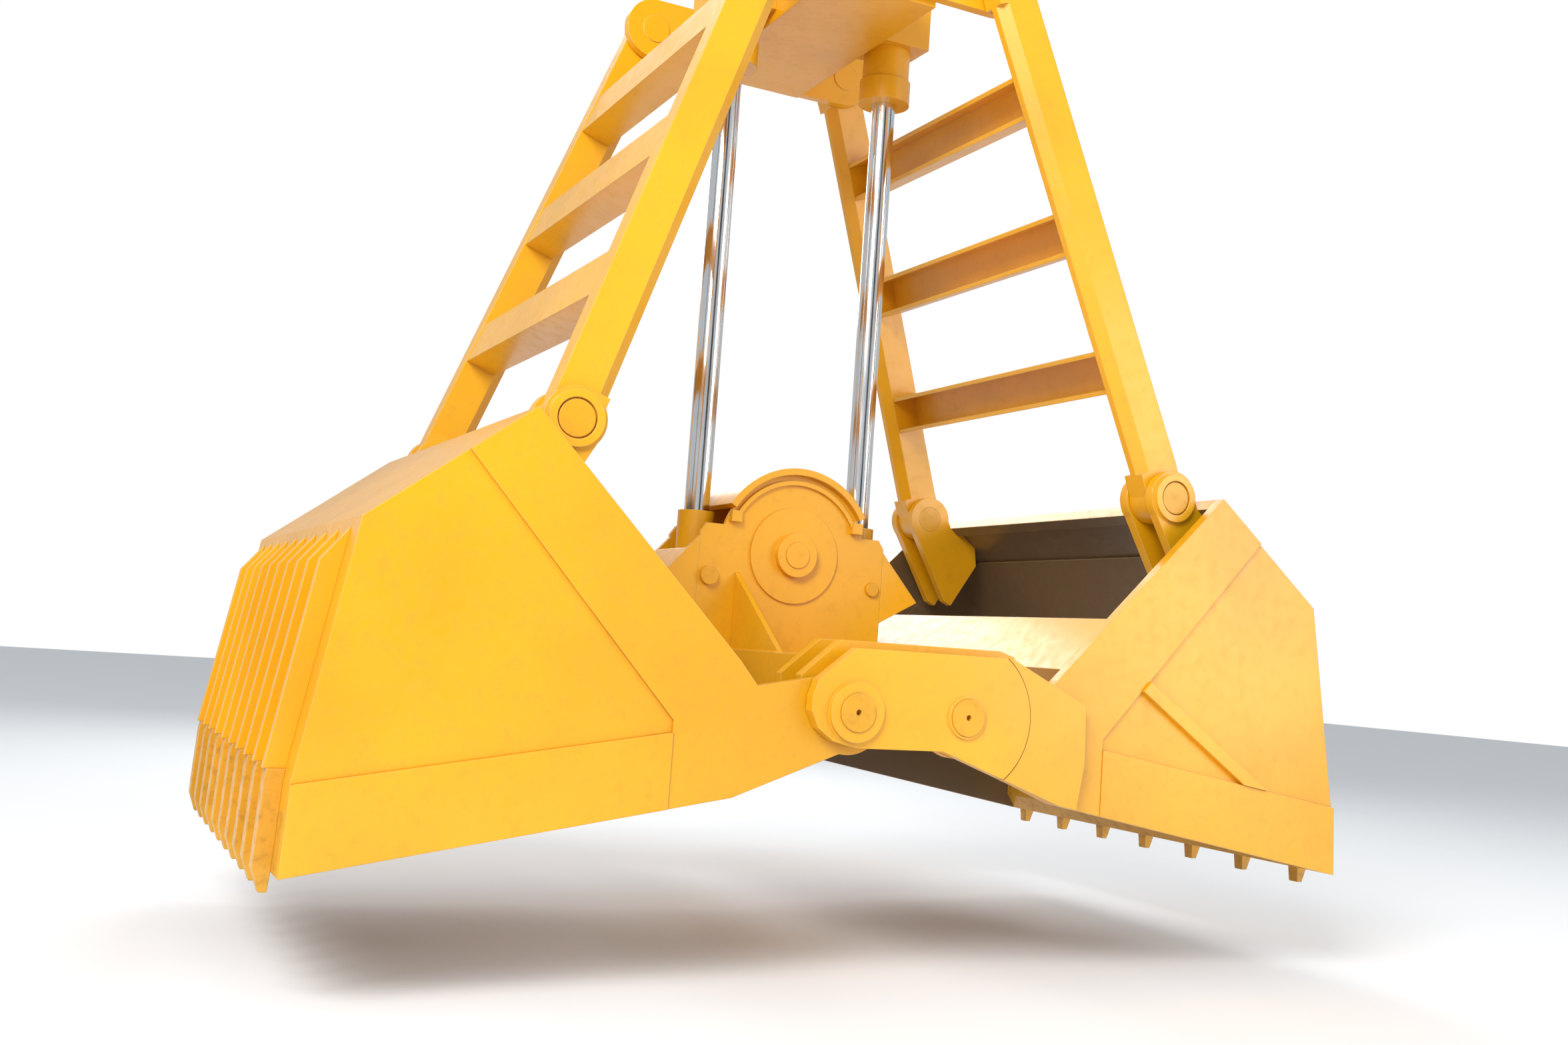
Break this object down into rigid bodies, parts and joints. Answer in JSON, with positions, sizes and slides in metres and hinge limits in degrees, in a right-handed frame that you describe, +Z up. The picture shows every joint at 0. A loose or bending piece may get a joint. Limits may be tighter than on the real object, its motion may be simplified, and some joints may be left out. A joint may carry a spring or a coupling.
{
  "type": "clamshell bucket",
  "caption": "Two-jaw hydraulic clamshell grab, open: welded steel jaws with toothed lips, ladder arms, and two cylinders between head and lower crosshead",
  "frame": {"origin": "centre of the suspension eye's bore at the top", "axes": "+X the way the right jaw opens, +Y along the jaw width, away from the side seen, +Z up"},
  "size_m": [3.668, 2.128, 5.0579],
  "materials": {
    "yellow_paint": "semi-gloss yellow paint over weld seams",
    "wear_plate": "scuffed primer and bare steel",
    "rod_chrome": "ground and hard-chromed",
    "pin_steel": "turned steel ends under yellow paint",
    "dark_steel": "painted cast steel"
  },
  "bodies": {
    "head": {"head_beam": "yellow_paint", "head_plates": "yellow_paint", "barrel_clamps": "yellow_paint", "centre_mast": "yellow_paint", "top_yoke": "yellow_paint", "suspension_eye": "yellow_paint", "cylinder_glands": "dark_steel", "left_cylinder_barrel": "yellow_paint", "right_cylinder_barrel": "yellow_paint"},
    "crosshead": {"near_hinge_plate": "yellow_paint", "far_hinge_plate": "yellow_paint", "inner_hinge_plates": "yellow_paint", "left_hinge_pins": "pin_steel", "right_hinge_pins": "pin_steel", "deck_beam": "yellow_paint", "housing_cheeks": "yellow_paint", "housing_roof": "yellow_paint", "housing_trim": "yellow_paint", "housing_covers": "yellow_paint", "housing_axle": "pin_steel", "housing_gussets": "yellow_paint", "left_side_guard": "yellow_paint", "right_side_guard": "yellow_paint", "rod_ends": "dark_steel", "rod_pins": "pin_steel", "left_piston_rod": "rod_chrome", "right_piston_rod": "rod_chrome"},
    "left_jaw": {"left_jaw_arm_plates": "yellow_paint", "left_jaw_side_sheets": "yellow_paint", "left_jaw_side_lips": "yellow_paint", "left_jaw_shell": "yellow_paint", "left_jaw_liner": "wear_plate", "left_jaw_lip": "yellow_paint", "left_jaw_cross_beam": "yellow_paint", "left_jaw_ribs": "yellow_paint", "left_jaw_teeth": "yellow_paint", "left_jaw_lugs": "yellow_paint", "left_arm_pins": "pin_steel", "left_jaw_doubler": "yellow_paint"},
    "left_arm": {"left_arm_near_leg": "yellow_paint", "left_arm_far_leg": "yellow_paint", "left_arm_rungs": "yellow_paint", "left_arm_upper_pins": "pin_steel"},
    "right_jaw": {"right_jaw_arm_plates": "yellow_paint", "right_jaw_side_sheets": "yellow_paint", "right_jaw_side_lips": "yellow_paint", "right_jaw_shell": "yellow_paint", "right_jaw_liner": "wear_plate", "right_jaw_lip": "yellow_paint", "right_jaw_cross_beam": "yellow_paint", "right_jaw_ribs": "yellow_paint", "right_jaw_teeth": "yellow_paint", "right_jaw_lugs": "yellow_paint", "right_arm_pins": "pin_steel", "right_jaw_doubler": "yellow_paint"},
    "right_arm": {"right_arm_near_leg": "yellow_paint", "right_arm_far_leg": "yellow_paint", "right_arm_rungs": "yellow_paint", "right_arm_upper_pins": "pin_steel"}
  },
  "joints": [
    {"name": "closing_stroke", "type": "slide", "parent": "head", "child": "crosshead", "axis": [0, 0, 1], "range_m": [0, 1.53286]},
    {"name": "right_jaw_hinge", "type": "hinge", "parent": "crosshead", "child": "right_jaw", "pos_m": [0.195, 0, -4.39286], "axis": [0, 1, 0], "range_deg": [0, 79.62]},
    {"name": "left_jaw_hinge", "type": "hinge", "parent": "crosshead", "child": "left_jaw", "pos_m": [-0.195, 0, -4.39286], "axis": [0, -1, 0], "range_deg": [0, 79.62]},
    {"name": "right_arm_pivot", "type": "hinge", "parent": "right_jaw", "child": "right_arm", "pos_m": [1.084, 0, -3.60886], "axis": [0, -1, 0], "range_deg": [0, 80.97]},
    {"name": "left_arm_pivot", "type": "hinge", "parent": "left_jaw", "child": "left_arm", "pos_m": [-1.084, 0, -3.60886], "axis": [0, 1, 0], "range_deg": [0, 80.97]}
  ],
  "couplings": [
    {"joint": "right_jaw_hinge", "follows": "closing_stroke", "rad_per_m": 0.90642},
    {"joint": "left_jaw_hinge", "follows": "closing_stroke", "rad_per_m": 0.90642},
    {"joint": "right_arm_pivot", "follows": "closing_stroke", "rad_per_m": 0.92176},
    {"joint": "left_arm_pivot", "follows": "closing_stroke", "rad_per_m": 0.92176}
  ]
}
